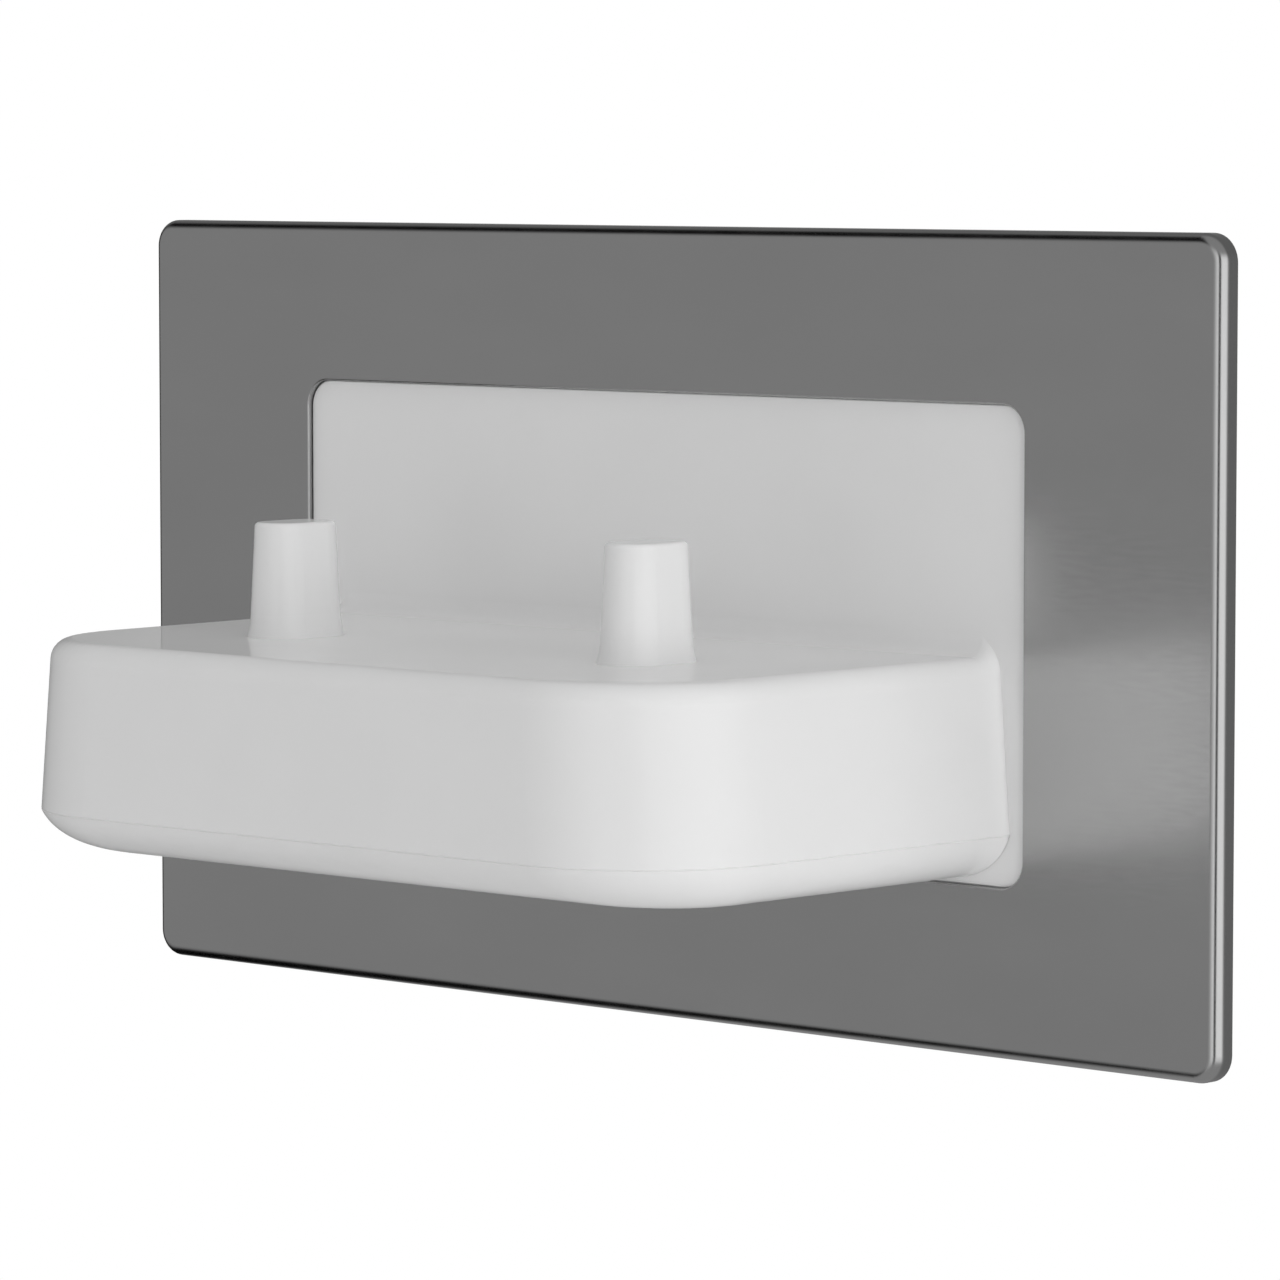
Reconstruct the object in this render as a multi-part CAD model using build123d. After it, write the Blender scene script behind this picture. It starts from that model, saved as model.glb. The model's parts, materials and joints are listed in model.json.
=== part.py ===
from build123d import *
import math
import os

# In-wall toothbrush charger: a polished faceplate with a white shelf and two charging posts.
# Millimetres. X runs along the plate, Z is up, Y runs into the wall.
# The origin is the middle of the plate on the wall plane, so the plate front is at negative Y.

# Faceplate, pressed from sheet
plate_width = 156.0
plate_height = 86.0
plate_depth = 2.5
plate_sheet = 0.8
plate_corner = 3.0
plate_edge_round = 1.2
plate_bend_round = 0.4
window_width = 105.0
window_height = 50.2
window_corner = 3.0
window_lip_round = 0.2
clip_spacing = 80.0
clip_length = 10.0
clip_radius = 0.4
clip_depth = 0.75

# Fits
rim_gap = 0.15
panel_gap = 0.1
sheet_gap = 0.1
seat_gap = 0.1

# White panel and the base plate behind the faceplate
panel_recess = 0.6
panel_edge_round = 0.1

# Shelf, measured at its parting line unless said otherwise
shelf_reach = 53.7
shelf_width = 100.8
shelf_front_width = 98.3
shelf_corner = 16.75
shelf_top = -1.15
shelf_seam = -19.55
shelf_bottom = -24.4
shelf_wall = 2.0
shelf_edge_round = 2.3
shelf_root_round = 2.2
side_lean = 1.44
front_lean = 0.36
seam_groove = 0.08

# Lower cover of the shelf
cover_side_curl = 7.5
cover_front_curl = 12.5
cover_levels = 4
cover_start = math.radians(15)
cover_floor = 1.8
tongue_wall = 1.2
tongue_height = 1.5

# Charging posts
post_spacing = 51.5
post_from_panel = 28.8
post_height = 12.4
post_width = 7.2
post_length = 11.0
post_taper = 1.2
post_top_round = 0.5
post_foot_height = 2.5
post_foot_reach = 0.3
post_foot_levels = 3
post_cap = 1.3

# Charging coils
core_diameter = 3.8
bobbin_wall = 0.7
bobbin_flange = 0.9
bobbin_diameter = 15.0
bobbin_height = 11.5
winding_diameter = 13.6

# Shelf board
board_thickness = 1.6
board_corner = 3.0
shelf_board_width = 84.0
shelf_board_length = 38.0
shelf_board_from_panel = 7.1
shelf_board_drop = 16.5
boss_diameter = 5.4
boss_inset = 4.0
board_screw_diameter = 2.5
board_screw_head = 4.6
board_screw_head_height = 1.6
board_screw_length = 7.0
screw_end_gap = 0.5
capacitor_spacing = 17.0
shelf_capacitor_width = 7.2
shelf_capacitor_length = 4.0
shelf_capacitor_height = 8.0
shelf_capacitor_from_panel = 20.6
transistor_spacing = 17.0
transistor_width = 7.6
transistor_thickness = 2.7
transistor_height = 10.8
transistor_from_panel = 32.6
transistor_hole = 3.1

# Fixing to the wall box
fixing_spacing = 120.6
slot_width = 4.1
slot_length = 7.0
pad_width = 11.0
pad_height = 9.0
pad_corner = 2.5
pad_wall = 1.6
pad_sink = 1.0

# Wall gasket
gasket_inset = 2.0
gasket_width = 3.0
gasket_thickness = 0.8

# Rear housing
housing_width = 106.0
housing_height = 57.0
housing_depth = 32.0
housing_wall = 2.0
housing_corner = 4.0
housing_edge_round = 1.5
step_depth = 18.0
step_level = -8.0
ear_spacing = 80.0
ear_reach = 2.9
ear_thickness = 2.5
ear_width = 9.0
post_boss_diameter = 5.6
post_boss_height = 6.0
post_boss_floor = 1.0
housing_screw_diameter = 2.9
housing_screw_head = 5.2
housing_screw_head_height = 1.8

# Screw heads
cross_width = 0.9
cross_length = 2.8
cross_depth = 1.0
head_round = 0.6
point_chamfer = 0.6

# Power board
power_board_width = 92.0
power_board_height = 46.0
power_board_depth = 3.5
standoff_diameter = 5.4
standoff_inset = 4.0
standoff_floor = 1.2

# Lead opening between the housing and the shelf, and the two low-voltage leads
lead_window_width = 26.0
lead_window_height = 8.0
lead_level = -9.5
lead_spacing = 12.0
lead_diameter = 1.8
lead_bend = 4.0
lead_from_panel = 9.1

# Mains terminals
terminal_pitch = 9.0
terminal_count = 3
terminal_level = -17.5
block_side = 1.2
block_height = 15.0
block_depth = 14.0
block_round = 0.8
block_ear_width = 6.0
block_ear_thickness = 4.0
block_screw_length = 9.0
clamp_width = 6.4
clamp_height = 8.0
clamp_depth = 8.0
clamp_wire_bore = 3.8
clamp_wire_depth = 4.6
wire_entry = 4.4
pin_size = 1.2
terminal_screw_diameter = 2.9
terminal_screw_head = 4.6
terminal_screw_head_height = 1.8
terminal_screw_lift = 2.2
screw_access = 5.2
terminal_slot_width = 0.9

# Earth strap from the power board to the back of the faceplate
strap_place = 30.0
strap_width = 5.0
strap_thickness = 0.4
strap_foot = 5.0
strap_tab = 6.0
strap_above_panel = 0.9

# Parts on the power board, as places along X and Z
transformer_place = (-16.0, 8.0)
core_width = 16.0
core_length = 14.0
core_thickness = 5.0
core_leg = 4.0
core_side_leg = 2.3
core_yoke = 2.0
winding_gap = 0.2
winding_width = 13.0
bobbin_foot = 1.6
bulk_capacitor_place = (5.0, 10.0)
bulk_capacitor_diameter = 10.0
bulk_capacitor_height = 16.0
output_capacitor_place = (-35.0, 9.0)
output_capacitor_diameter = 8.0
output_capacitor_height = 12.0
can_round = 0.7
can_groove = 0.5
can_groove_height = 2.2
filter_capacitor_place = (22.0, 12.0)
filter_capacitor_width = 13.0
filter_capacitor_length = 6.5
filter_capacitor_height = 12.0
moulded_round = 0.5
fuse_place = (37.0, 11.0)
fuse_diameter = 8.4
fuse_height = 7.6
varistor_place = (26.0, -1.0)
varistor_diameter = 9.0
varistor_thickness = 4.0
varistor_round = 1.4
rectifier_place = (7.0, -4.0)
rectifier_width = 8.2
rectifier_length = 6.4
rectifier_height = 3.0
chip_place = (-7.0, -4.0)
chip_width = 9.2
chip_length = 6.4
chip_height = 3.2
chip_notch = 1.0

# Levels that follow from the sizes above
plate_front = -plate_depth
panel_front = plate_front + panel_recess
sheet_back = plate_front + plate_sheet
base_front = sheet_back + sheet_gap
panel_width = window_width - 2 * panel_gap
panel_height = window_height - 2 * panel_gap
panel_corner = window_corner - panel_gap
base_width = plate_width - 2 * (plate_sheet + rim_gap)
base_height = plate_height - 2 * (plate_sheet + rim_gap)
base_corner = plate_corner - plate_sheet - rim_gap
shelf_front = panel_front - shelf_reach
shelf_rise = shelf_top - shelf_seam
shelf_ceiling = shelf_top - shelf_wall
post_depth = panel_front - post_from_panel
post_bore = core_diameter + 2 * seat_gap
shelf_board_top = shelf_top - shelf_board_drop
shelf_board_middle = panel_front - shelf_board_from_panel - shelf_board_length / 2
shelf_boss_x = shelf_board_width / 2 - boss_inset
shelf_boss_y = shelf_board_length / 2 - boss_inset
ear_offset = housing_height / 2 + ear_reach
housing_screw_length = post_boss_height + ear_thickness - post_boss_floor - screw_end_gap
standoff_pilot = panel_front + standoff_floor
power_screw_length = power_board_depth + board_thickness - standoff_pilot - screw_end_gap
power_board_back = power_board_depth + board_thickness
standoff_x = power_board_width / 2 - standoff_inset
standoff_z = power_board_height / 2 - standoff_inset
block_width = terminal_count * terminal_pitch + 2 * block_side
clamp_wire_y = step_depth + clamp_wire_depth
terminal_screw_length = terminal_screw_lift + clamp_depth - clamp_wire_depth - clamp_wire_bore / 2 - seat_gap
block_ear_x = block_width / 2 + block_ear_width / 2
strap_level = panel_height / 2 + strap_above_panel

# The two hands of a mirrored pair, and how near an edge lies to a level to count as on it
sides = {"left": -1, "right": 1}
level_match = 0.05


def through(outline, near, far):
    """A front-view outline (X, Z) run from one depth to another."""
    seat = Plane(origin=(0, far, 0), x_dir=(1, 0, 0), z_dir=(0, -1, 0))
    return extrude(seat * outline, amount=far - near)


def upright(outline, low, high):
    """A plan outline (X, Y) run from one height to another."""
    return extrude(Plane.XY.offset(low) * outline, amount=high - low)


def four_places(x, y):
    """The four corners of a pattern centred on the origin of its plane."""
    return [(sx * x, sy * y) for sx in (-1, 1) for sy in (-1, 1)]


def pan_screw(head, head_height, shank, length):
    """Pan-head screw with a cross recess, its seat at the origin and its shank along +Z."""
    dome = Pos(0, 0, -head_height / 2) * Cylinder(head / 2, head_height)
    dome = fillet(dome.edges().filter_by(GeomType.CIRCLE).sort_by(Axis.Z)[0], head_round)
    rod = Pos(0, 0, length / 2) * Cylinder(shank / 2, length)
    rod = chamfer(rod.edges().filter_by(GeomType.CIRCLE).sort_by(Axis.Z)[-1], point_chamfer)
    recess = Box(cross_length, cross_width, 2 * cross_depth) + Box(cross_width, cross_length, 2 * cross_depth)
    return dome + rod - Pos(0, 0, -head_height) * recess


def placed(shape, at, towards):
    """A shape built along +Z, moved to a point and turned to look along a direction."""
    return Plane(origin=at, z_dir=towards) * shape


def on_power_board(place, shape):
    """A part built on the XY plane, stood on the back of the power board."""
    seat = Plane(origin=(place[0], power_board_back, place[1]), x_dir=(1, 0, 0), z_dir=(0, 1, 0))
    return seat * shape


def on_shelf_board(x, y, shape):
    return Pos(x, y, shelf_board_top) * shape


# Faceplate

def clip_rods(radius, length):
    """Rods along the top and bottom rim where the faceplate snaps onto the base plate."""
    rim = plate_height / 2 - plate_sheet
    places = four_places(clip_spacing / 2, rim)
    return [Pos(x, -clip_depth, z) * Rot(0, 90, 0) * Cylinder(radius, length) for x, z in places]


def make_faceplate():
    outer = RectangleRounded(plate_width, plate_height, plate_corner)
    shell = through(outer, plate_front, 0)
    shell = fillet(shell.faces().sort_by(Axis.Y)[0].edges(), plate_edge_round)
    pan_outline = RectangleRounded(
        plate_width - 2 * plate_sheet, plate_height - 2 * plate_sheet, plate_corner - plate_sheet
    )
    pan = through(pan_outline, sheet_back, 0)
    pan = fillet(pan.faces().sort_by(Axis.Y)[0].edges(), plate_bend_round)
    window = through(RectangleRounded(window_width, window_height, window_corner), plate_front, 0)
    shell = shell - pan - window
    lip = shell.faces().sort_by(Axis.Y)[0].inner_wires()[0].edges()
    shell = fillet(lip, window_lip_round)
    for rod in clip_rods(clip_radius, clip_length):
        shell = shell + rod
    return shell


# Shelf form, shared by the moulding and its lower cover

def shelf_outline(height, side_inset, front_inset, back):
    """Plan outline of the shelf wall at a height, drawn in at its sides and front, cut off at the back."""
    climb = (height - shelf_seam) / shelf_rise
    half_at_panel = shelf_width / 2 - side_lean * climb - side_inset
    half_at_front = shelf_front_width / 2 - side_lean * climb - side_inset
    front = shelf_front + front_lean * climb + front_inset
    flare = (half_at_panel - half_at_front) / shelf_reach
    half_at_back = half_at_panel + flare * (back - panel_front)
    outline = make_face(
        Polyline(
            (-half_at_back, back),
            (-half_at_front, front),
            (half_at_front, front),
            (half_at_back, back),
            close=True,
        )
    )
    corner = shelf_corner - (side_inset + front_inset) / 2
    return fillet(outline.vertices().group_by(Axis.Y)[0], corner)


def shelf_form(low, high, inset, back):
    """The drafted shelf wall between two heights."""
    levels = [Plane.XY.offset(z) * shelf_outline(z, inset, inset, back) for z in (low, high)]
    return loft(levels, ruled=True)


def seam_rim(far, back):
    """The bevelled rim of one half of the shelf, drawn in at the parting line."""
    levels = [(shelf_seam, seam_groove), (far, 0.0)]
    outlines = [Plane.XY.offset(z) * shelf_outline(shelf_seam, inset, inset, back) for z, inset in levels]
    return loft(outlines, ruled=True)


def shelf_side_profile(run_on):
    """Side view of the shelf: flat top that sweeps up into the panel, run on past it for the edge rounds."""
    start = panel_front - shelf_root_round
    high = shelf_top + shelf_root_round
    half_turn = shelf_root_round * math.sqrt(0.5)
    sweep = ThreePointArc(
        (start, shelf_top),
        (start + half_turn, high - half_turn),
        (panel_front, high),
    )
    rest = Polyline(
        (panel_front, high),
        (panel_front, high + run_on),
        (run_on, high + run_on),
        (run_on, shelf_seam),
        (2 * shelf_front, shelf_seam),
        (2 * shelf_front, shelf_top),
        (start, shelf_top),
    )
    return make_face(sweep + rest)


def shelf_block():
    """The solid shelf with its rounded upper edge, before it is hollowed."""
    run_on = 2 * shelf_edge_round
    highest = shelf_top + shelf_root_round + run_on
    form = shelf_form(shelf_seam + seam_groove, highest, 0.0, run_on)
    block = form & extrude(Plane.YZ * shelf_side_profile(run_on), amount=shelf_width, both=True)

    def is_upper_edge(edge):
        middle = edge.center()
        runs_across = abs(middle.X) < level_match and middle.Y > shelf_front / 2
        in_reach = shelf_top - level_match < middle.Z < highest - level_match
        return in_reach and middle.Y < panel_front + level_match and not runs_across

    block = fillet(block.edges().filter_by(is_upper_edge), shelf_edge_round)
    # What runs on past the wall plane comes off
    block = split(block, Plane.XZ)
    return block + seam_rim(shelf_seam + seam_groove, 0.0)


def post_outline(height):
    """Plan outline of a post at a height above the shelf: long oval, tapered, with a flared foot."""
    narrowing = post_taper * height / post_height
    foot_share = max(0.0, 1 - height / post_foot_height)
    spread = 2 * post_foot_reach * foot_share**2 - narrowing
    return Rot(0, 0, 90) * SlotOverall(post_length + spread, post_width + spread)


def charging_post(x):
    """Tapered charging post with a flared foot and a rounded top."""
    place = Pos(x, post_depth, shelf_top)
    heights = [post_foot_height * step / post_foot_levels for step in range(post_foot_levels + 1)]
    foot = loft([Pos(0, 0, height) * post_outline(height) for height in heights])
    shaft = loft([Pos(0, 0, height) * post_outline(height) for height in (post_foot_height, post_height)])
    shaft = fillet(shaft.faces().sort_by(Axis.Z)[-1].edges(), post_top_round)
    return place * (foot + shaft)


# Front moulding

def base_plate():
    """Flat plate behind the faceplate, with the panel that shows in the window."""
    base = through(RectangleRounded(base_width, base_height, base_corner), base_front, 0)
    for groove in clip_rods(clip_radius + rim_gap, clip_length + 2 * rim_gap):
        base = base - groove
    panel = through(RectangleRounded(panel_width, panel_height, panel_corner), panel_front, 0)
    panel = fillet(panel.faces().sort_by(Axis.Y)[0].edges(), panel_edge_round)
    return base + panel


def fixing_pads(body):
    """Sunk, slotted pads for the wall-box screws."""
    for side in sides.values():
        place = Pos(side * fixing_spacing / 2, 0)
        well = place * RectangleRounded(pad_width, pad_height, pad_corner)
        cup = offset(well, pad_wall)
        slot = place * SlotOverall(slot_length, slot_width)
        body = body + through(cup, base_front, pad_sink + pad_wall)
        body = body - through(well, base_front, pad_sink)
        body = body - through(slot, pad_sink, pad_sink + pad_wall)
    return body


def shelf_inside(body):
    """Hollow shelf with bored posts and the bosses that carry the shelf board."""
    body = body - shelf_form(shelf_seam, shelf_ceiling, shelf_wall, panel_front)
    for x, y in four_places(shelf_boss_x, shelf_boss_y):
        place = Pos(x, shelf_board_middle + y)
        body = body + upright(place * Circle(boss_diameter / 2), shelf_board_top, shelf_ceiling)
        pilot = place * Circle(board_screw_diameter / 2 + seat_gap)
        body = body - upright(pilot, shelf_board_top, shelf_board_top + board_screw_length)
    for side in sides.values():
        bore = Pos(side * post_spacing / 2, post_depth) * Circle(post_bore / 2)
        body = body - upright(bore, shelf_ceiling - post_cap, shelf_top + post_height - post_cap)
    return body


def moulding_back(body):
    """Bosses, standoffs and cut-outs on the wall side of the moulding."""
    for x, z in four_places(ear_spacing / 2, ear_offset):
        place = Pos(x, z)
        body = body + through(place * Circle(post_boss_diameter / 2), 0, post_boss_height)
        pilot = place * Circle(housing_screw_diameter / 2 + seat_gap)
        body = body - through(pilot, post_boss_floor, post_boss_height)
    for x, z in four_places(standoff_x, standoff_z):
        place = Pos(x, z)
        body = body + through(place * Circle(standoff_diameter / 2), 0, power_board_depth)
        pilot = place * Circle(board_screw_diameter / 2 + seat_gap)
        body = body - through(pilot, standoff_pilot, power_board_depth)
    lead_window = Pos(0, lead_level) * SlotOverall(lead_window_width, lead_window_height)
    body = body - through(lead_window, panel_front - seat_gap, seat_gap)
    body = body - through(gasket_outline(seat_gap), -gasket_thickness, 0)
    return body - strap_cutout()


def make_front_moulding():
    body = base_plate() + shelf_block()
    for side in sides.values():
        body = body + charging_post(side * post_spacing / 2)
    return moulding_back(shelf_inside(fixing_pads(body)))


# Lower cover of the shelf

def cover_form(rim, drop, inset, back):
    """Bowl-shaped underside: its levels follow elliptical arcs that leave the rim at an angle."""
    levels = []
    for step in range(cover_levels + 1):
        turn = cover_start + (math.pi / 2 - cover_start) * step / cover_levels
        drawn_in = 1 - math.cos(turn) / math.cos(cover_start)
        fall = (math.sin(turn) - math.sin(cover_start)) / (1 - math.sin(cover_start))
        side_inset = inset + (cover_side_curl - inset) * drawn_in
        front_inset = inset + (cover_front_curl - inset) * drawn_in
        outline = shelf_outline(shelf_seam, side_inset, front_inset, back)
        levels.append(Plane.XY.offset(rim - drop * fall) * outline)
    return loft(levels)


def make_shelf_lower_cover():
    back = panel_front - seat_gap
    groove_end = shelf_seam - seam_groove
    tongue_inset = shelf_wall + seat_gap
    rim_wall = tongue_inset + tongue_wall
    tongue_top = shelf_seam + tongue_height
    tongue = shelf_outline(tongue_top, tongue_inset, tongue_inset, back)
    cover = seam_rim(groove_end, back) + cover_form(groove_end, groove_end - shelf_bottom, 0.0, back)
    cover = cover + upright(tongue, groove_end, tongue_top)
    opening = shelf_outline(shelf_seam, rim_wall, rim_wall, back - rim_wall)
    inside_drop = shelf_seam - shelf_bottom - cover_floor
    cover = cover - upright(opening, shelf_seam, tongue_top)
    return cover - cover_form(shelf_seam, inside_drop, rim_wall, back - rim_wall)


# Rear housing

def housing_boxes(inset):
    """The two boxes of the stepped housing: full height to the step, upper part to the full depth."""
    width = housing_width - 2 * inset
    height = housing_height - 2 * inset
    corner = housing_corner - inset
    low = through(RectangleRounded(width, height, corner), 0, step_depth - inset)
    deep_height = housing_height / 2 - step_level - 2 * inset
    middle = (housing_height / 2 + step_level) / 2
    high = through(Pos(0, middle) * RectangleRounded(width, deep_height, corner), 0, housing_depth - inset)
    return [low, high]


def make_rear_housing():
    low, high = housing_boxes(0)
    low = fillet(low.faces().sort_by(Axis.Y)[-1].edges(), housing_edge_round)
    high = fillet(high.faces().sort_by(Axis.Y)[-1].edges(), housing_edge_round)
    body = low + high
    ear_near = post_boss_height
    ear_far = post_boss_height + ear_thickness
    ear_root = housing_height / 2 - housing_wall
    for x, z in four_places(ear_spacing / 2, ear_offset):
        side = math.copysign(1, z)
        tip = abs(z) + ear_width / 2 - post_boss_diameter / 4
        bar = Pos(x, side * (ear_root + tip) / 2) * Rectangle(ear_width, tip - ear_root)
        body = body + through(bar, ear_near, ear_far)
    for hollow in housing_boxes(housing_wall):
        body = body - hollow
    for x, z in four_places(ear_spacing / 2, ear_offset):
        hole = Pos(x, z) * Circle(housing_screw_diameter / 2 + seat_gap)
        body = body - through(hole, ear_near, ear_far)
    inside_step = step_depth - housing_wall
    boss_end = step_depth + block_ear_thickness - block_screw_length
    for side in sides.values():
        place = Pos(side * block_ear_x, terminal_level)
        body = body + through(place * Circle(boss_diameter / 2), boss_end, inside_step)
        body = body - through(place * Circle(board_screw_diameter / 2 + seat_gap), boss_end, step_depth)
    for x in terminal_places():
        slot = Pos(x, terminal_level) * Rectangle(pin_size + 4 * seat_gap, pin_size + 4 * seat_gap)
        body = body - through(slot, inside_step, step_depth)
    return body


# Wall gasket

def gasket_outline(extra=0.0):
    """Ring that follows the base plate, widened by an extra on both edges."""
    outer_inset = gasket_inset - extra
    inner_inset = gasket_inset + gasket_width + extra
    ring = [
        RectangleRounded(base_width - 2 * inset, base_height - 2 * inset, base_corner)
        for inset in (outer_inset, inner_inset)
    ]
    return ring[0] - ring[1]


def make_wall_gasket():
    return through(gasket_outline(), -gasket_thickness, 0)


# Screws

def make_housing_screws():
    screw = pan_screw(
        housing_screw_head, housing_screw_head_height, housing_screw_diameter, housing_screw_length
    )
    seat = post_boss_height + ear_thickness
    places = four_places(ear_spacing / 2, ear_offset)
    return Compound([placed(screw, (x, seat, z), (0, -1, 0)) for x, z in places])


def board_screw(length):
    return pan_screw(board_screw_head, board_screw_head_height, board_screw_diameter, length)


def make_power_board_screws():
    places = four_places(standoff_x, standoff_z)
    screw = board_screw(power_screw_length)
    return Compound([placed(screw, (x, power_board_back, z), (0, -1, 0)) for x, z in places])


def make_shelf_board_screws():
    seat = shelf_board_top - board_thickness
    places = four_places(shelf_boss_x, shelf_boss_y)
    screw = board_screw(board_screw_length)
    return Compound([placed(screw, (x, shelf_board_middle + y, seat), (0, 0, 1)) for x, y in places])


def make_terminal_block_screws():
    seat = step_depth + block_ear_thickness
    screw = board_screw(block_screw_length)
    places = [(side * block_ear_x, seat, terminal_level) for side in sides.values()]
    return Compound([placed(screw, at, (0, -1, 0)) for at in places])


# Mains terminals

def terminal_places():
    first = -(terminal_count - 1) / 2 * terminal_pitch
    return [first + number * terminal_pitch for number in range(terminal_count)]


def make_terminal_block():
    far = step_depth + block_depth
    middle = Pos(0, terminal_level)
    block = through(middle * Rectangle(block_width, block_height), step_depth, far)
    block = fillet(block.edges().filter_by(Axis.Y), block_round)
    ears = middle * RectangleRounded(block_width + 2 * block_ear_width, block_ear_width, block_round)
    block = block + through(ears, step_depth, step_depth + block_ear_thickness)
    cavity_end = step_depth + clamp_depth + seat_gap
    for x in terminal_places():
        place = Pos(x, terminal_level)
        cavity = place * Rectangle(clamp_width + 2 * seat_gap, clamp_height + 2 * seat_gap)
        block = block - through(cavity, step_depth, cavity_end)
        block = block - through(place * Circle(screw_access / 2), cavity_end, far)
        entry = Pos(x, clamp_wire_y) * Circle(wire_entry / 2)
        block = block - upright(entry, terminal_level - block_height / 2, terminal_level)
    for side in sides.values():
        hole = Pos(side * block_ear_x, terminal_level) * Circle(board_screw_diameter / 2 + seat_gap)
        block = block - through(hole, step_depth, step_depth + block_ear_thickness)
    return block


def make_terminal_clamps():
    clamps = []
    for x in terminal_places():
        place = Pos(x, terminal_level)
        cage = through(place * Rectangle(clamp_width, clamp_height), step_depth, step_depth + clamp_depth)
        bore = Pos(x, clamp_wire_y) * Circle(clamp_wire_bore / 2)
        cage = cage - upright(bore, terminal_level - clamp_height, terminal_level + clamp_height)
        thread = place * Circle(terminal_screw_diameter / 2 + seat_gap / 2)
        cage = cage - through(thread, clamp_wire_y, step_depth + clamp_depth)
        pin = through(place * Rectangle(pin_size, pin_size), power_board_depth, step_depth)
        clamps.append(cage + pin)
    return Compound(clamps)


def make_terminal_screws():
    head = Pos(0, 0, -terminal_screw_head_height / 2) * Cylinder(
        terminal_screw_head / 2, terminal_screw_head_height
    )
    rod = Pos(0, 0, terminal_screw_length / 2) * Cylinder(terminal_screw_diameter / 2, terminal_screw_length)
    slot = Box(2 * terminal_screw_head, terminal_slot_width, cross_depth)
    slot = Pos(0, 0, -terminal_screw_head_height) * slot
    screw = head + rod - slot
    seat = step_depth + clamp_depth + terminal_screw_lift
    return Compound([placed(screw, (x, seat, terminal_level), (0, -1, 0)) for x in terminal_places()])


# Earth strap

def strap_outline(extra):
    """Side view (Y, Z) of the folded strap: foot on the faceplate, leg through the base, tab on the board."""
    low = strap_level - extra
    high = strap_level + strap_thickness + extra
    leg_end = power_board_back + strap_thickness
    foot_end = strap_level + strap_foot + extra
    board_edge = power_board_height / 2
    tab_end = board_edge - strap_tab
    return make_face(
        Polyline(
            (sheet_back, low),
            (power_board_back, low),
            (power_board_back, tab_end),
            (leg_end + extra, tab_end),
            (leg_end + extra, high),
            (sheet_back + strap_thickness + extra, high),
            (sheet_back + strap_thickness + extra, foot_end),
            (sheet_back, foot_end),
            close=True,
        )
    )


def strap_solid(extra):
    width = strap_width + 2 * extra
    return Pos(strap_place, 0, 0) * extrude(Plane.YZ * strap_outline(extra), amount=width / 2, both=True)


def strap_cutout():
    """Slot and shallow pocket that let the strap through the base plate."""
    reach = Pos(0, -plate_depth / 2, 0) * Box(plate_width, plate_depth, plate_height)
    return strap_solid(2 * seat_gap) & reach


def make_earth_strap():
    return strap_solid(0.0)


# Power board and its parts

def make_power_board():
    board = through(RectangleRounded(power_board_width, power_board_height, board_corner), power_board_depth,
                    power_board_back)
    for x, z in four_places(standoff_x, standoff_z):
        hole = Pos(x, z) * Circle(board_screw_diameter / 2 + seat_gap)
        board = board - through(hole, power_board_depth, power_board_back)
    for x in terminal_places():
        hole = Pos(x, terminal_level) * Rectangle(pin_size + 2 * seat_gap, pin_size + 2 * seat_gap)
        board = board - through(hole, power_board_depth, power_board_back)
    return board


def make_transformer_core():
    """Closed core of two E halves, standing on the feet of its bobbin."""
    rise = bobbin_foot + core_length / 2
    frame = Box(core_width, core_thickness, core_length)
    opening = (core_width - core_leg) / 2 - core_side_leg
    offset = core_leg / 2 + opening / 2
    for side in sides.values():
        frame = frame - Pos(side * offset, 0, 0) * Box(opening, core_thickness, core_length - 2 * core_yoke)
    return on_power_board(transformer_place, Pos(0, 0, rise) * frame)


def make_transformer_winding():
    """Wound bobbin round the middle leg, with the two feet that stand on the board."""
    rise = bobbin_foot + core_length / 2
    coil_height = core_length - 2 * core_yoke - 2 * winding_gap
    coil_width = core_width - 2 * core_side_leg - 2 * winding_gap
    coil = Box(coil_width, winding_width, coil_height)
    coil = fillet(coil.edges().filter_by(Axis.Z), moulded_round)
    coil = coil - Box(core_leg + 2 * winding_gap, core_thickness + 2 * winding_gap, coil_height)
    coil = Pos(0, 0, rise) * coil
    foot_depth = winding_width / 2 - core_thickness / 2 - winding_gap
    foot_height = bobbin_foot + core_yoke + winding_gap
    for side in sides.values():
        foot_y = side * (winding_width / 2 - foot_depth / 2)
        coil = coil + Pos(0, foot_y, foot_height / 2) * Box(coil_width, foot_depth, foot_height)
    return on_power_board(transformer_place, coil)


def can_capacitor(diameter, height):
    """Electrolytic can with its rolled groove near the base."""
    can = Pos(0, 0, height / 2) * Cylinder(diameter / 2, height)
    can = fillet(can.edges().filter_by(GeomType.CIRCLE), can_round)
    return can - Pos(0, 0, can_groove_height) * Torus(diameter / 2 + can_groove / 2, can_groove)


def make_bulk_capacitor():
    can = can_capacitor(bulk_capacitor_diameter, bulk_capacitor_height)
    return on_power_board(bulk_capacitor_place, can)


def make_output_capacitor():
    can = can_capacitor(output_capacitor_diameter, output_capacitor_height)
    return on_power_board(output_capacitor_place, can)


def moulded_block(width, length, height):
    """Box-shaped moulded part with rounded edges, standing on the XY plane."""
    block = Pos(0, 0, height / 2) * Box(width, length, height)
    return fillet(block.edges().filter_by(lambda edge: edge.center().Z > level_match), moulded_round)


def make_filter_capacitor():
    block = moulded_block(filter_capacitor_width, filter_capacitor_length, filter_capacitor_height)
    return on_power_board(filter_capacitor_place, block)


def make_fuse():
    can = Pos(0, 0, fuse_height / 2) * Cylinder(fuse_diameter / 2, fuse_height)
    can = fillet(can.edges().filter_by(GeomType.CIRCLE).sort_by(Axis.Z)[-1], can_round)
    return on_power_board(fuse_place, can)


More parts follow.
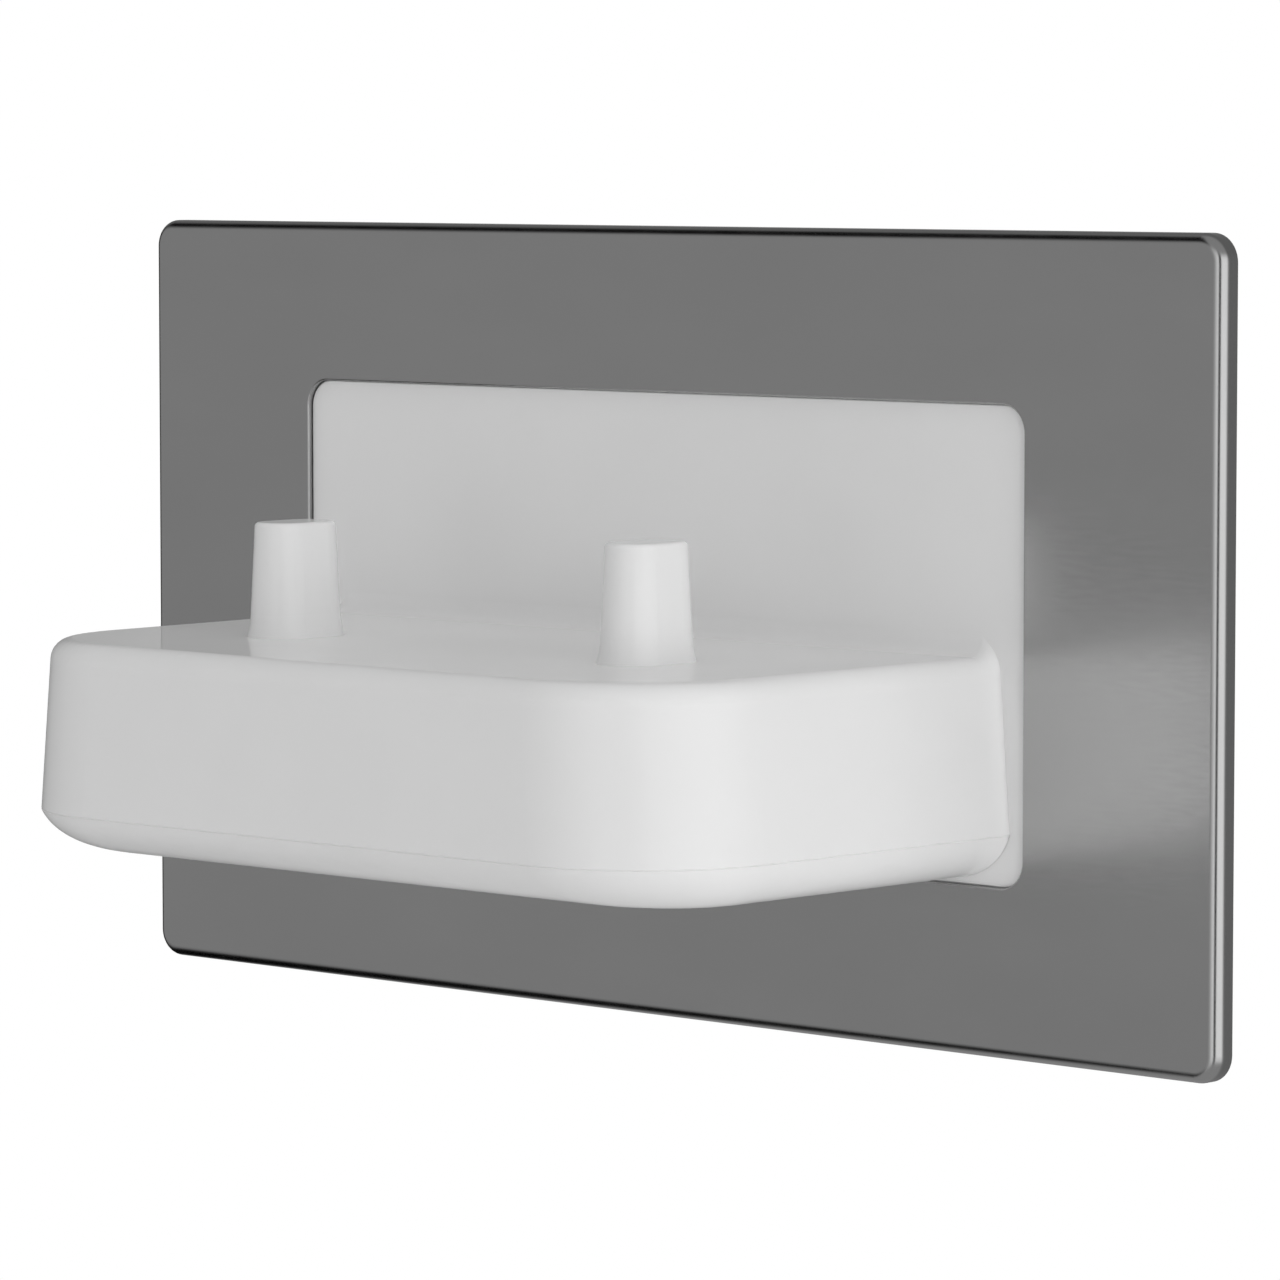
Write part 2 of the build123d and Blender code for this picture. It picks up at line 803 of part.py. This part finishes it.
def make_varistor():
    """Coated disc standing on its edge."""
    disc = Rot(90, 0, 0) * Cylinder(varistor_diameter / 2, varistor_thickness)
    disc = Pos(0, 0, varistor_diameter / 2) * disc
    disc = fillet(disc.edges().filter_by(GeomType.CIRCLE), varistor_round)
    return on_power_board(varistor_place, disc)


def make_bridge_rectifier():
    return on_power_board(rectifier_place, moulded_block(rectifier_width, rectifier_length, rectifier_height))


def make_controller_chip():
    block = moulded_block(chip_width, chip_length, chip_height)
    notch = Pos(-chip_width / 2, 0, chip_height) * Cylinder(chip_notch, chip_notch)
    return on_power_board(chip_place, block - notch)


# Shelf board, coils and drive parts

def make_shelf_board():
    middle = Pos(0, shelf_board_middle)
    outline = middle * RectangleRounded(shelf_board_width, shelf_board_length, board_corner)
    board = upright(outline, shelf_board_top - board_thickness, shelf_board_top)
    for x, y in four_places(shelf_boss_x, shelf_boss_y):
        hole = Pos(x, shelf_board_middle + y) * Circle(board_screw_diameter / 2 + seat_gap)
        board = board - upright(hole, shelf_board_top - board_thickness, shelf_board_top)
    return board


def make_ferrite_core(side):
    """Rod that stands on the shelf board and reaches to the top of the post bore."""
    top = shelf_top + post_height - post_cap - seat_gap
    return upright(Pos(side * post_spacing / 2, post_depth) * Circle(core_diameter / 2), shelf_board_top, top)


def make_coil_bobbin(side):
    inner = core_diameter / 2 + seat_gap
    tube = inner + bobbin_wall
    flange = Circle(bobbin_diameter / 2)
    bobbin = upright(Circle(tube), 0, bobbin_height)
    bobbin = bobbin + upright(flange, 0, bobbin_flange)
    bobbin = bobbin + upright(flange, bobbin_height - bobbin_flange, bobbin_height)
    bobbin = bobbin - upright(Circle(inner), 0, bobbin_height)
    return on_shelf_board(side * post_spacing / 2, post_depth, bobbin)


def make_coil_winding(side):
    inner = core_diameter / 2 + seat_gap + bobbin_wall
    ring = Circle(winding_diameter / 2) - Circle(inner)
    coil = upright(ring, bobbin_flange, bobbin_height - bobbin_flange)
    return on_shelf_board(side * post_spacing / 2, post_depth, coil)


def make_resonant_capacitor(side):
    block = moulded_block(shelf_capacitor_width, shelf_capacitor_length, shelf_capacitor_height)
    return on_shelf_board(side * capacitor_spacing / 2, panel_front - shelf_capacitor_from_panel, block)


def make_drive_transistor(side):
    """Flat-bodied transistor with its mounting hole, standing on the board."""
    block = moulded_block(transistor_width, transistor_thickness, transistor_height)
    hole = Rot(90, 0, 0) * Cylinder(transistor_hole / 2, 2 * transistor_thickness)
    block = block - Pos(0, 0, transistor_height - transistor_hole) * hole
    return on_shelf_board(side * transistor_spacing / 2, panel_front - transistor_from_panel, block)


def make_lead(side):
    """Lead that rises from the shelf board and runs back through the panel to the power board."""
    x = side * lead_spacing / 2
    y = panel_front - lead_from_panel
    route = FilletPolyline((x, y, shelf_board_top), (x, y, lead_level), (x, power_board_depth, lead_level),
                           radius=lead_bend)
    start = Plane(origin=(x, y, shelf_board_top), z_dir=(0, 0, 1))
    return sweep(start * Circle(lead_diameter / 2), path=route)


def all_parts():
    parts = {
        "faceplate": make_faceplate(),
        "front_moulding": make_front_moulding(),
        "shelf_lower_cover": make_shelf_lower_cover(),
        "rear_housing": make_rear_housing(),
        "wall_gasket": make_wall_gasket(),
        "housing_screws": make_housing_screws(),
        "terminal_block": make_terminal_block(),
        "terminal_block_screws": make_terminal_block_screws(),
        "terminal_clamps": make_terminal_clamps(),
        "terminal_screws": make_terminal_screws(),
        "earth_strap": make_earth_strap(),
        "power_board": make_power_board(),
        "power_board_screws": make_power_board_screws(),
        "transformer_core": make_transformer_core(),
        "transformer_winding": make_transformer_winding(),
        "bulk_capacitor": make_bulk_capacitor(),
        "output_capacitor": make_output_capacitor(),
        "filter_capacitor": make_filter_capacitor(),
        "fuse": make_fuse(),
        "varistor": make_varistor(),
        "bridge_rectifier": make_bridge_rectifier(),
        "controller_chip": make_controller_chip(),
        "shelf_board": make_shelf_board(),
        "shelf_board_screws": make_shelf_board_screws(),
        "lead_positive": make_lead(-1),
        "lead_negative": make_lead(1),
    }
    for name, side in sides.items():
        parts["ferrite_core_" + name] = make_ferrite_core(side)
        parts["coil_bobbin_" + name] = make_coil_bobbin(side)
        parts["coil_winding_" + name] = make_coil_winding(side)
        parts["resonant_capacitor_" + name] = make_resonant_capacitor(side)
        parts["drive_transistor_" + name] = make_drive_transistor(side)
    return parts


os.makedirs("parts", exist_ok=True)
for node, shape in all_parts().items():
    export_step(shape, "parts/" + node + ".step")
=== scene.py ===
import json
import math
import bpy
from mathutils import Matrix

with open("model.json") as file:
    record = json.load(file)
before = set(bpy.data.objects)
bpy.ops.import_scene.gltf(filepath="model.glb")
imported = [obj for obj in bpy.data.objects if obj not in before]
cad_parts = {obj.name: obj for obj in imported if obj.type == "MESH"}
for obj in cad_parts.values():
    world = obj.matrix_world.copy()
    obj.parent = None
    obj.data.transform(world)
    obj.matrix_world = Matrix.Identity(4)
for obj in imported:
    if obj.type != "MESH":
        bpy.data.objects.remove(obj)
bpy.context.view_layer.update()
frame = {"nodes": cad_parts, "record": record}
nodes = frame["nodes"]

# Metres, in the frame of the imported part: X along the plate, Y into the wall, Z up.
millimetre = 0.001

# Camera of the photograph
camera_place = (0.46514, -0.50867, 0.05237)
camera_turn = math.radians(42.65)
camera_dip = math.radians(4.513)
camera_lens = 178.5
camera_sensor = 36.0
camera_near = 0.01

# Studio: even light from the world and a pale floor well below the part
white = (1.0, 1.0, 1.0, 1.0)
ambient_level = 0.30
floor_level = -0.32
floor_half = 6.0
floor_tone = 0.9
floor_roughness = 0.8

# Lamps: degrees from the front towards the right, degrees up, distance, width and power
lamp_distance = 1.6
lamp_width = 1.3
lamps = {
    "key": (70, 2, lamp_distance, lamp_width, 13.3),
    "side": (100, 2, lamp_distance, lamp_width, 3.4),
    "front": (0, -10, lamp_distance, 0.6, 1.4),
    "fill": (-60, 2, lamp_distance, lamp_width, 6.0),
    "top": (0, 85, lamp_distance, lamp_width, 6.5),
    "low": (0, -90, 0.31, 2.0, 0.3),
    "rear": (180, 8, lamp_distance, lamp_width, 8.0),
}

# Cards that the mirrors see at eye level: degrees from the front towards the right, and brightness
tent_radius = 3.0
tent_depth = 0.3
tent_segments = 64
tent_rings = 32
rear_card = 0.62
left_flag = 0.06
grey_card = 0.385
front_card = 1.20
front_flag = 0.05
right_card = 1.35
cards = [
    (-180, rear_card),
    (-135, rear_card),
    (-128, left_flag),
    (-84, left_flag),
    (-74, grey_card),
    (-25, grey_card),
    (12, front_card),
    (20, front_card),
    (27, front_flag),
    (42, front_flag),
    (48, right_card),
    (180, right_card),
]
card_top = 1.4

# Above and below the cards: how steeply they end, the level beyond them, and a black flag on the left
card_full = math.radians(12)
card_end = math.radians(36)
far_level = 0.4
flag_turn = math.radians(-70)
flag_start = 0.45
flag_full = 0.65

# Behind the part: an even grey, and a darker grey above it
back_level = 0.22
back_turn = math.radians(167)
back_start = 0.34
back_full = 0.78
dark_level = 0.20
dark_turn = math.radians(194)
dark_start = -0.05
dark_full = 0.4
dark_low = math.radians(10)
dark_high = math.radians(28)

# Polished plate: grey tones, roughness, polishing haze, grain and faint ripples
steel_tones = (0.448, 0.464)
steel_roughness = (0.20, 0.24)
haze_size = 9 * millimetre
haze_stretch = (2.5, 1.0, 1.0)
grain_size = 0.5 * millimetre
grain_stretch = (6.0, 1.0, 1.0)
ripple_size = 4 * millimetre
ripple_depth = 0.05 * millimetre
ripple_strength = 0.03

# White moulding: grey tones, roughness, clear gloss, flow marks, mottle and faint waves
white_tones = (0.836, 0.85)
white_roughness = (0.45, 0.55)
gloss_weight = 0.75
gloss_index = 1.3
gloss_roughness = 0.05
flow_size = 14 * millimetre
mottle_size = 2 * millimetre
wave_size = 3 * millimetre
wave_depth = 0.02 * millimetre
wave_strength = 0.02

# Moulded plastics and coats: colour, size of the grain, roughness and depth of the grain
fine = 0.35 * millimetre
plastics = {
    "housing_plastic": ((0.03, 0.03, 0.032), fine, 0.52, 0.05 * millimetre),
    "terminal_plastic": ((0.60, 0.58, 0.50), fine, 0.42, 0.02 * millimetre),
    "ferrite": ((0.03, 0.03, 0.033), fine, 0.62, 0.03 * millimetre),
    "bobbin_plastic": ((0.02, 0.02, 0.02), fine, 0.45, 0.02 * millimetre),
    "capacitor_sleeve": ((0.012, 0.016, 0.03), 1 * millimetre, 0.25, 0.02 * millimetre),
    "film_capacitor": ((0.58, 0.34, 0.03), fine, 0.4, 0.02 * millimetre),
    "fuse_case": ((0.05, 0.022, 0.012), fine, 0.45, 0.02 * millimetre),
    "varistor_coat": ((0.02, 0.07, 0.24), 0.8 * millimetre, 0.35, 0.05 * millimetre),
    "chip_resin": ((0.012, 0.012, 0.014), fine, 0.55, 0.03 * millimetre),
    "lead_red": ((0.34, 0.01, 0.008), fine, 0.4, 0.01 * millimetre),
    "lead_black": ((0.01, 0.01, 0.01), fine, 0.4, 0.01 * millimetre),
}
plastic_shades = (0.9, 1.1)
plastic_patch = 3.0
plastic_swing = 0.06
plastic_strength = 0.6

# Small metal pieces: colour, roughness and size of the marks
metals = {
    "screw_steel": ((0.62, 0.61, 0.58), 0.32, 0.4 * millimetre),
    "terminal_brass": ((0.66, 0.44, 0.16), 0.28, 0.5 * millimetre),
}
metal_shade = 0.88
metal_patch = 1.5 * millimetre
metal_swing = 0.07
mark_depth = 0.03 * millimetre
mark_strength = 0.2

# Windings: colour, pitch of the turns and share of metal
windings = {
    "copper_wire": ((0.60, 0.24, 0.09), 0.3 * millimetre, 1.0),
    "winding_tape": ((0.68, 0.45, 0.04), 2 * millimetre, 0.0),
}
# Painted shade: share of the colour left in the grooves between turns
painted_groove_shade = 0.55
winding_wander = 0.4
winding_roughness = 0.35
winding_strength = 0.8

# Foam strip
foam_cell = 0.5 * millimetre
foam_tones = (0.012, 0.04)
foam_roughness = 0.85
foam_depth = 0.2 * millimetre
foam_strength = 0.7

# Board laminate: solder resist over copper tracks
track_pitch = 6 * millimetre
track_width = 0.08
board_colours = {
    "Color1": (0.012, 0.09, 0.035, 1.0),
    "Color2": (0.016, 0.11, 0.042, 1.0),
    "Mortar": (0.03, 0.16, 0.06, 1.0),
}
board_grain = 1 * millimetre
board_roughness = (0.32, 0.42)
track_depth = 0.05 * millimetre
track_strength = 0.4

# Part of a pattern's range that carries its change
pattern_low = 0.3
pattern_high = 0.7


# Node helpers

def new_material(name):
    """A fresh node material: returns the material, its node tree and its main shader."""
    material = bpy.data.materials.new(name)
    material.use_nodes = True
    tree = material.node_tree
    return material, tree, tree.nodes["Principled BSDF"]


def set_values(node, **values):
    """Sets a node's inputs by name, with underscores for the spaces."""
    for name, value in values.items():
        node.inputs[name.replace("_", " ")].default_value = value


def connect(tree, value, socket):
    """Feeds a socket with a node output or with a number."""
    if isinstance(value, float):
        socket.default_value = value
    else:
        tree.links.new(value, socket)


def calculated(tree, operation, first, second=0.0):
    """Arithmetic on node outputs and numbers."""
    node = tree.nodes.new("ShaderNodeMath")
    node.operation = operation
    connect(tree, first, node.inputs[0])
    connect(tree, second, node.inputs[1])
    return node.outputs["Value"]


def blended(tree, factor, first, second):
    """Goes from a first value to a second one, each a node output or a number."""
    node = tree.nodes.new("ShaderNodeMix")
    tree.links.new(factor, node.inputs["Factor"])
    connect(tree, first, node.inputs["A"])
    connect(tree, second, node.inputs["B"])
    return node.outputs["Result"]


def eased(tree, value, start, end):
    """Goes softly from 0 to 1 while a value goes from start to end."""
    ramp = tree.nodes.new("ShaderNodeMapRange")
    ramp.interpolation_type = "SMOOTHSTEP"
    set_values(ramp, From_Min=start, From_Max=end, To_Min=0.0, To_Max=1.0)
    tree.links.new(value, ramp.inputs["Value"])
    return ramp.outputs["Result"]


def object_place(tree):
    """The point on the surface, in metres."""
    return tree.nodes.new("ShaderNodeTexCoord").outputs["Object"]


def noise(tree, size, detail=2.0, stretch=(1.0, 1.0, 1.0)):
    """Noise with grains of a given size in metres, drawn out along the axes by a stretch."""
    mapping = tree.nodes.new("ShaderNodeMapping")
    mapping.inputs["Scale"].default_value = [1.0 / (size * share) for share in stretch]
    tree.links.new(object_place(tree), mapping.inputs["Vector"])
    texture = tree.nodes.new("ShaderNodeTexNoise")
    set_values(texture, Scale=1.0, Detail=detail)
    tree.links.new(mapping.outputs["Vector"], texture.inputs["Vector"])
    return texture.outputs["Fac"]


def cells(tree, size):
    """Distance to the nearest point of a cell pattern of a given size in metres."""
    texture = tree.nodes.new("ShaderNodeTexVoronoi")
    set_values(texture, Scale=1.0 / size)
    tree.links.new(object_place(tree), texture.inputs["Vector"])
    return texture.outputs["Distance"]


def spread(tree, pattern, low, high, socket):
    """Feeds a socket with a value that follows a pattern from low to high."""
    ramp = tree.nodes.new("ShaderNodeMapRange")
    set_values(ramp, From_Min=pattern_low, From_Max=pattern_high, To_Min=low, To_Max=high)
    tree.links.new(pattern, ramp.inputs["Value"])
    tree.links.new(ramp.outputs["Result"], socket)


def tint(tree, pattern, dark, light, socket):
    """Feeds a colour socket with a colour that follows a pattern between two colours."""
    ramp = tree.nodes.new("ShaderNodeValToRGB")
    stops = ramp.color_ramp.elements
    for stop, place, colour in zip(stops, (pattern_low, pattern_high), (dark, light)):
        stop.position = place
        stop.color = (*colour, 1.0)
    tree.links.new(pattern, ramp.inputs["Fac"])
    tree.links.new(ramp.outputs["Color"], socket)


def bump(tree, shader, height, depth, strength):
    """Raises the surface by a pattern, with its depth in metres."""
    node = tree.nodes.new("ShaderNodeBump")
    set_values(node, Strength=strength, Distance=depth)
    tree.links.new(height, node.inputs["Height"])
    tree.links.new(node.outputs["Normal"], shader.inputs["Normal"])


def shaded(colour, share):
    """A colour made darker or lighter by a share."""
    return tuple(min(1.0, channel * share) for channel in colour)


def greys(tones):
    """The colours of two grey tones."""
    return [(tone, tone, tone) for tone in tones]


# Materials

def polished_steel(name):
    """Polished sheet: soft mirror with faint polishing haze."""
    material, tree, shader = new_material(name)
    set_values(shader, Metallic=1.0)
    haze = noise(tree, haze_size, 3.0, haze_stretch)
    tint(tree, haze, *greys(steel_tones), shader.inputs["Base Color"])
    grain = noise(tree, grain_size, 2.0, grain_stretch)
    spread(tree, grain, *steel_roughness, shader.inputs["Roughness"])
    bump(tree, shader, noise(tree, ripple_size, 1.0), ripple_depth, ripple_strength)
    return material


def white_plastic(name):
    """White moulding under a clear gloss, with a hint of flow marks and faint waves."""
    material, tree, shader = new_material(name)
    set_values(shader, Specular_IOR_Level=0.0)
    set_values(shader, Coat_Weight=gloss_weight, Coat_IOR=gloss_index, Coat_Roughness=gloss_roughness)
    tint(tree, noise(tree, flow_size), *greys(white_tones), shader.inputs["Base Color"])
    spread(tree, noise(tree, mottle_size), *white_roughness, shader.inputs["Roughness"])
    bump(tree, shader, noise(tree, wave_size, 1.0), wave_depth, wave_strength)
    return material


def textured_plastic(name, colour, grain, roughness, depth):
    """Moulding with a spark-eroded grain."""
    material, tree, shader = new_material(name)
    dark, light = (shaded(colour, share) for share in plastic_shades)
    tint(tree, noise(tree, plastic_patch * grain), dark, light, shader.inputs["Base Color"])
    smooth = roughness - plastic_swing
    rough = roughness + plastic_swing
    spread(tree, noise(tree, grain), smooth, rough, shader.inputs["Roughness"])
    bump(tree, shader, noise(tree, grain, 4.0), depth, plastic_strength)
    return material


def plain_metal(name, colour, roughness, mark):
    """Machined or plated metal with fine marks."""
    material, tree, shader = new_material(name)
    set_values(shader, Metallic=1.0)
    patches = noise(tree, metal_patch, 3.0)
    tint(tree, patches, shaded(colour, metal_shade), colour, shader.inputs["Base Color"])
    smooth = roughness - metal_swing
    rough = roughness + metal_swing
    spread(tree, noise(tree, mark, 3.0), smooth, rough, shader.inputs["Roughness"])
    bump(tree, shader, noise(tree, mark, 2.0), mark_depth, mark_strength)
    return material


def wound_wire(name, colour, pitch, metal):
    """Close turns of wire or tape round an upright axis, with painted shade darkening the grooves between
    the turns.
    """
    material, tree, shader = new_material(name)
    turns = tree.nodes.new("ShaderNodeTexWave")
    turns.bands_direction = "Z"
    set_values(turns, Scale=1.0 / (math.pi * pitch), Distortion=winding_wander)
    tree.links.new(object_place(tree), turns.inputs["Vector"])
    # Painted shade: the colour darkens where the turns dip into their grooves
    tint(tree, turns.outputs["Fac"], shaded(colour, painted_groove_shade), colour, shader.inputs["Base Color"])
    set_values(shader, Metallic=metal, Roughness=winding_roughness)
    bump(tree, shader, turns.outputs["Fac"], pitch / 3, winding_strength)
    return material


def foam_rubber(name):
    """Closed-cell foam strip."""
    material, tree, shader = new_material(name)
    tint(tree, cells(tree, foam_cell), *greys(foam_tones), shader.inputs["Base Color"])
    set_values(shader, Roughness=foam_roughness)
    bump(tree, shader, cells(tree, foam_cell), foam_depth, foam_strength)
    return material


def board_laminate(name):
    """Green solder resist over copper tracks."""
    material, tree, shader = new_material(name)
    tracks = tree.nodes.new("ShaderNodeTexBrick")
    set_values(tracks, Scale=1.0 / track_pitch, Mortar_Size=track_width, **board_colours)
    tree.links.new(object_place(tree), tracks.inputs["Vector"])
    tree.links.new(tracks.outputs["Color"], shader.inputs["Base Color"])
    spread(tree, noise(tree, board_grain), *board_roughness, shader.inputs["Roughness"])
    bump(tree, shader, tracks.outputs["Fac"], track_depth, track_strength)
    return material


def look(slot):
    """The name of a slot's material."""
    return slot + "_look"


def make_materials():
    """One material for each slot of the record."""
    materials = {}
    single = {
        "polished_steel": polished_steel,
        "white_plastic": white_plastic,
        "seal_rubber": foam_rubber,
        "board_laminate": board_laminate,
    }
    for slot, maker in single.items():
        materials[slot] = maker(look(slot))
    families = [(textured_plastic, plastics), (plain_metal, metals), (wound_wire, windings)]
    for maker, family in families:
        for slot, values in family.items():
            materials[slot] = maker(look(slot), *values)
    return materials


def dress_nodes():
    """Gives every node of the part the material of its slot."""
    materials = make_materials()
    for row in frame["record"]["subparts"]:
        nodes[row["node"]].material_slots[0].material = materials[row["material_slot"]]


# Camera

def add_camera():
    """The camera of the photograph, without shift or depth of field."""
    data = bpy.data.cameras.new("camera")
    data.sensor_width = camera_sensor
    data.lens = camera_lens
    data.clip_start = camera_near
    camera = bpy.data.objects.new("camera", data)
    camera.location = camera_place
    camera.rotation_euler = (math.pi / 2 - camera_dip, 0.0, camera_turn)
    bpy.context.scene.collection.objects.link(camera)
    bpy.context.scene.camera = camera


# Studio

def seen_directly(tree):
    """1 for rays from the camera, from a mirror or through glass, and 0 for the rest."""
    path = tree.nodes.new("ShaderNodeLightPath")
    seen = path.outputs["Is Camera Ray"]
    for name in ("Is Glossy Ray", "Is Transmission Ray"):
        seen = calculated(tree, "MAXIMUM", seen, path.outputs[name])
    return seen


def white_where_seen(tree, plain, shining, surface):
    """Shows a white shader where the surface is seen, and the plain one to the light."""
    mix = tree.nodes.new("ShaderNodeMixShader")
    tree.links.new(seen_directly(tree), mix.inputs["Fac"])
    tree.links.new(plain, mix.inputs[1])
    tree.links.new(shining, mix.inputs[2])
    tree.links.new(mix.outputs["Shader"], surface)


def add_world():
    """Even soft light, with a white background where it is seen."""
    world = bpy.data.worlds.new("studio")
    world.use_nodes = True
    bpy.context.scene.world = world
    tree = world.node_tree
    light = tree.nodes["Background"]
    set_values(light, Color=white, Strength=ambient_level)
    backdrop = tree.nodes.new("ShaderNodeBackground")
    set_values(backdrop, Color=white, Strength=1.0)
    surface = tree.nodes["World Output"].inputs["Surface"]
    white_where_seen(tree, light.outputs["Background"], backdrop.outputs["Background"], surface)


def add_floor():
    """Pale floor below the part, white where it is seen."""
    sides = ((-1, -1), (1, -1), (1, 1), (-1, 1))
    corners = [(x * floor_half, y * floor_half, floor_level) for x, y in sides]
    mesh = bpy.data.meshes.new("floor")
    mesh.from_pydata(corners, [], [(0, 1, 2, 3)])
    floor = bpy.data.objects.new("floor", mesh)
    bpy.context.scene.collection.objects.link(floor)
    material, tree, shader = new_material("floor_look")
    set_values(shader, Roughness=floor_roughness)
    set_values(shader, Base_Color=(floor_tone, floor_tone, floor_tone, 1.0))
    backdrop = tree.nodes.new("ShaderNodeEmission")
    set_values(backdrop, Strength=1.0)
    surface = tree.nodes["Material Output"].inputs["Surface"]
    white_where_seen(tree, shader.outputs["BSDF"], backdrop.outputs["Emission"], surface)
    mesh.materials.append(material)


def card_level(tree, turn):
    """Brightness of the cards for an angle round from the front."""
    ramp = tree.nodes.new("ShaderNodeValToRGB")
    stops = ramp.color_ramp.elements
    for angle, _ in cards[1:-1]:
        stops.new(angle / 360 + 0.5)
    for stop, (_, level) in zip(stops, cards):
        share = level / card_top
        stop.color = (share, share, share, 1.0)
    round_share = calculated(tree, "DIVIDE", turn, 2 * math.pi)
    tree.links.new(calculated(tree, "ADD", round_share, 0.5), ramp.inputs["Fac"])
    return calculated(tree, "MULTIPLY", ramp.outputs["Color"], card_top)


def facing(tree, direction, turn, start, full):
    """Goes from 0 to 1 for directions that lie nearer and nearer to one angle round the part."""
    node = tree.nodes.new("ShaderNodeVectorMath")
    node.operation = "DOT_PRODUCT"
    tree.links.new(direction, node.inputs[0])
    node.inputs[1].default_value = (math.sin(turn), -math.cos(turn), 0.0)
    return eased(tree, node.outputs["Value"], start, full)


def tent_direction(tree):
    """The direction of a point of the tent from the part."""
    normal = tree.nodes.new("ShaderNodeVectorMath")
    normal.operation = "NORMALIZE"
    tree.links.new(object_place(tree), normal.inputs[0])
    return normal.outputs["Vector"]


def tent_level(tree):
    """Brightness of the tent: cards at eye level, grey and black above and below, greys at the back."""
    direction = tent_direction(tree)
    axes = tree.nodes.new("ShaderNodeSeparateXYZ")
    tree.links.new(direction, axes.inputs["Vector"])
    right, back, up = (axes.outputs[axis] for axis in "XYZ")
    turn = calculated(tree, "ARCTAN2", right, calculated(tree, "MULTIPLY", back, -1.0))
    away = eased(tree, calculated(tree, "ABSOLUTE", up), math.sin(card_full), math.sin(card_end))
    flags = blended(tree, facing(tree, direction, flag_turn, flag_start, flag_full), far_level, 0.0)
    front = blended(tree, away, card_level(tree, turn), flags)
    behind = facing(tree, direction, back_turn, back_start, back_full)
    level = blended(tree, behind, front, back_level)
    high = eased(tree, up, math.sin(dark_low), math.sin(dark_high))
    above = facing(tree, direction, dark_turn, dark_start, dark_full)
    return blended(tree, calculated(tree, "MULTIPLY", high, above), level, dark_level)


def add_tent():
    """Cards all round that only mirrors see, so that the polished plate has something to reflect."""
    bpy.ops.mesh.primitive_uv_sphere_add(segments=tent_segments, ring_count=tent_rings, radius=tent_radius)
    tent = bpy.context.object
    tent.name = "tent"
    for vertex in tent.data.vertices:
        if vertex.co.z < 0:
            vertex.co.z *= tent_depth / tent_radius
    tent.visible_camera = False
    tent.visible_diffuse = False
    tent.visible_transmission = False
    tent.visible_volume_scatter = False
    tent.visible_shadow = False
    material, tree, shader = new_material("tent_look")
    tree.nodes.remove(shader)
    card = tree.nodes.new("ShaderNodeEmission")
    tree.links.new(tent_level(tree), card.inputs["Strength"])
    tree.links.new(card.outputs["Emission"], tree.nodes["Material Output"].inputs["Surface"])
    tent.data.materials.append(material)


def add_lamp(name, turn, rise, distance, width, power):
    """Large soft lamp aimed at the part, left out of the mirrors because the cards stand there."""
    data = bpy.data.lights.new(name, "AREA")
    data.size = width
    data.energy = power
    lamp = bpy.data.objects.new(name, data)
    across = distance * math.cos(rise)
    lamp.location = (across * math.sin(turn), -across * math.cos(turn), distance * math.sin(rise))
    lamp.rotation_euler = (math.pi / 2 - rise, 0.0, turn)
    lamp.visible_camera = False
    lamp.visible_glossy = False
    bpy.context.scene.collection.objects.link(lamp)


bpy.context.scene.view_settings.view_transform = "Standard"
dress_nodes()
add_camera()
add_world()
add_floor()
add_tent()
for name, (turn, rise, distance, width, power) in lamps.items():
    add_lamp(name, math.radians(turn), math.radians(rise), distance, width, power)
